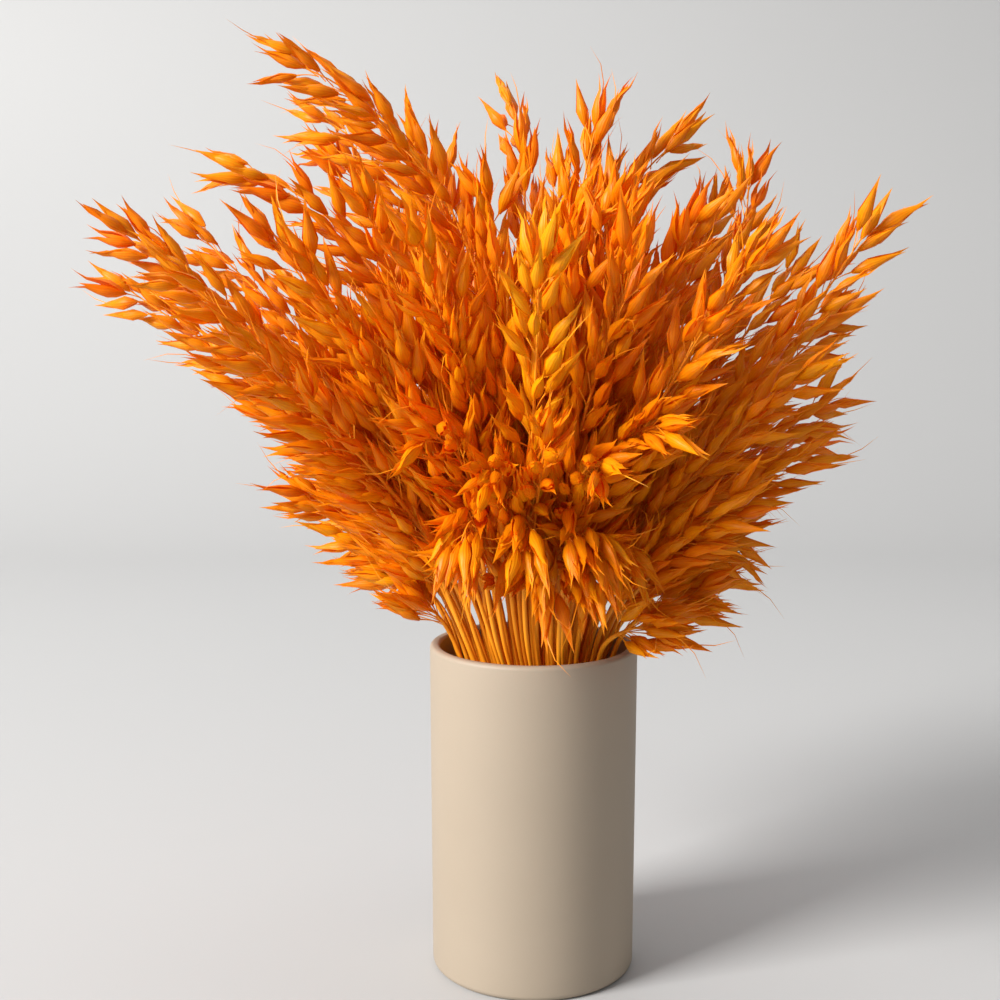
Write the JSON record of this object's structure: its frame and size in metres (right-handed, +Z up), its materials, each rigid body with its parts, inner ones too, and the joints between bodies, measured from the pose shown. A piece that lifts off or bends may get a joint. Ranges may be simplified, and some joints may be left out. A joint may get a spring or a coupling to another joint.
{
  "type": "vase of dried oats",
  "caption": "Straight-sided ceramic vase holding a full, fanned bunch of dyed dried oat stems with drooping panicles.",
  "frame": {"origin": "centre of the vase's flat underside", "axes": "+Z up along the vase's axis, -Y towards the side the bunch is seen from, +X to the right from there"},
  "size_m": [0.3976, 0.2892, 0.4421],
  "materials": {
    "vase": "matte",
    "oats": "matte"
  },
  "bodies": {
    "root": {"vase": "vase", "oat_01": "oats", "oat_02": "oats", "oat_03": "oats", "oat_04": "oats", "oat_05": "oats", "oat_06": "oats", "oat_07": "oats", "oat_08": "oats", "oat_09": "oats", "oat_10": "oats", "oat_11": "oats", "oat_12": "oats", "oat_13": "oats", "oat_14": "oats", "oat_15": "oats", "oat_16": "oats", "oat_17": "oats", "oat_18": "oats", "oat_19": "oats", "oat_20": "oats", "oat_21": "oats", "oat_22": "oats", "oat_23": "oats", "oat_24": "oats", "oat_25": "oats", "oat_26": "oats", "oat_27": "oats", "oat_28": "oats", "oat_29": "oats", "oat_30": "oats", "oat_31": "oats", "oat_32": "oats", "oat_33": "oats", "oat_34": "oats", "oat_35": "oats", "oat_36": "oats", "oat_37": "oats", "oat_38": "oats", "oat_39": "oats", "oat_40": "oats", "oat_41": "oats", "oat_42": "oats", "oat_43": "oats", "oat_44": "oats", "oat_45": "oats", "oat_46": "oats", "oat_47": "oats", "oat_48": "oats", "oat_49": "oats", "oat_50": "oats", "oat_51": "oats", "oat_52": "oats", "oat_53": "oats", "oat_54": "oats", "oat_55": "oats", "oat_56": "oats", "oat_57": "oats", "oat_58": "oats", "oat_59": "oats"}
  },
  "joints": []
}
